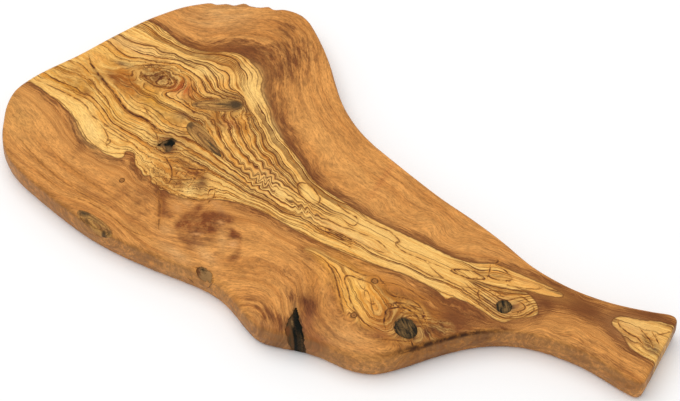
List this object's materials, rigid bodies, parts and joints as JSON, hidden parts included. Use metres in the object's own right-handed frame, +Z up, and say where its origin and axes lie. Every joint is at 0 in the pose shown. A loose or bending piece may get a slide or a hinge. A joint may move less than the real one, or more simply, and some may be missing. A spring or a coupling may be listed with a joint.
{
  "type": "serving board",
  "caption": "Live-edge olive-wood serving board with a waisted neck and flared handle, knots and bark grown into the plank.",
  "frame": {"origin": "middle of the board's box, on the plane that its foot rests on", "axes": "+X along the board towards the handle, +Y towards the back edge, +Z up out of the serving face"},
  "size_m": [0.452, 0.227, 0.02],
  "materials": {
    "olive_wood": "sanded and oiled, satin",
    "dark_knot": "sanded and oiled, satin",
    "grey_knot": "sanded and oiled, satin",
    "pin_knot": "sanded and oiled, satin",
    "bark": "rough, matt"
  },
  "bodies": {
    "root": {"board": "olive_wood", "handle_knot": "dark_knot", "neck_knot": "dark_knot", "upper_spike_knot": "grey_knot", "lower_spike_knot": "grey_knot", "rim_knot": "grey_knot", "bark_pocket": "bark", "bark_cleft": "bark", "bark_patch": "bark", "blade_pin_knot": "pin_knot", "neck_pin_knot": "pin_knot", "belly_pin_knot": "pin_knot"}
  },
  "joints": []
}
